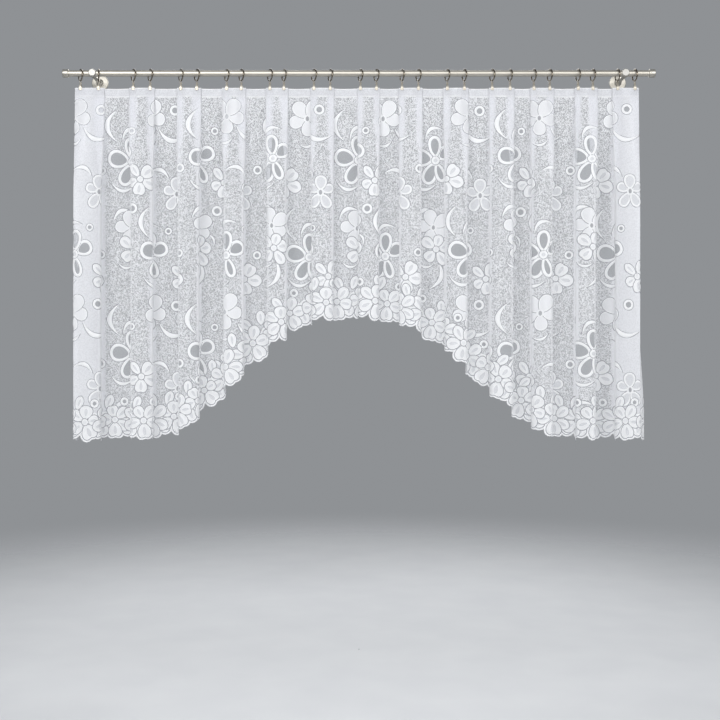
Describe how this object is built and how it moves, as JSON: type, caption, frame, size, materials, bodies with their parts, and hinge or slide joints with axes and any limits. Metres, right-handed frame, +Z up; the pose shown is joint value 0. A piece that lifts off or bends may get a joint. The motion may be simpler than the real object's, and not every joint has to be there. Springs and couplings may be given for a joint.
{
  "type": "net curtain with curtain rod",
  "caption": "Wide lace net curtain with an arched, scalloped hem, hung in box pleats from clip rings on a straight wall-mounted curtain rod with end caps and two brackets.",
  "frame": {"origin": "centre of the left wall plate's back face, which lies on the wall", "axes": "+X along the rod to the right as seen from the room, +Y into the wall, +Z up"},
  "size_m": [1.8056, 0.1369, 1.1361],
  "materials": {
    "net": "white sheer lace net",
    "tape": "plain white woven tape",
    "nickel": "satin nickel",
    "ring_metal": "satin nickel wire, a little darker",
    "clip_metal": "bright nickel sheet"
  },
  "bodies": {
    "root": {"net_panel": "net", "heading_tape": "tape", "rod": "nickel", "end_cap_left": "nickel", "end_cap_right": "nickel", "bracket_left": "nickel", "bracket_right": "nickel", "ring_1": "ring_metal", "clip_1": "clip_metal", "ring_2": "ring_metal", "clip_2": "clip_metal", "ring_3": "ring_metal", "clip_3": "clip_metal", "ring_4": "ring_metal", "clip_4": "clip_metal", "ring_5": "ring_metal", "clip_5": "clip_metal", "ring_6": "ring_metal", "clip_6": "clip_metal", "ring_7": "ring_metal", "clip_7": "clip_metal", "ring_8": "ring_metal", "clip_8": "clip_metal", "ring_9": "ring_metal", "clip_9": "clip_metal", "ring_10": "ring_metal", "clip_10": "clip_metal", "ring_11": "ring_metal", "clip_11": "clip_metal", "ring_12": "ring_metal", "clip_12": "clip_metal", "ring_13": "ring_metal", "clip_13": "clip_metal", "ring_14": "ring_metal", "clip_14": "clip_metal", "ring_15": "ring_metal", "clip_15": "clip_metal", "ring_16": "ring_metal", "clip_16": "clip_metal", "ring_17": "ring_metal", "clip_17": "clip_metal", "ring_18": "ring_metal", "clip_18": "clip_metal", "ring_19": "ring_metal", "clip_19": "clip_metal", "ring_20": "ring_metal", "clip_20": "clip_metal", "ring_21": "ring_metal", "clip_21": "clip_metal", "ring_22": "ring_metal", "clip_22": "clip_metal", "ring_23": "ring_metal", "clip_23": "clip_metal", "ring_24": "ring_metal", "clip_24": "clip_metal", "ring_25": "ring_metal", "clip_25": "clip_metal", "ring_26": "ring_metal", "clip_26": "clip_metal"}
  },
  "joints": []
}
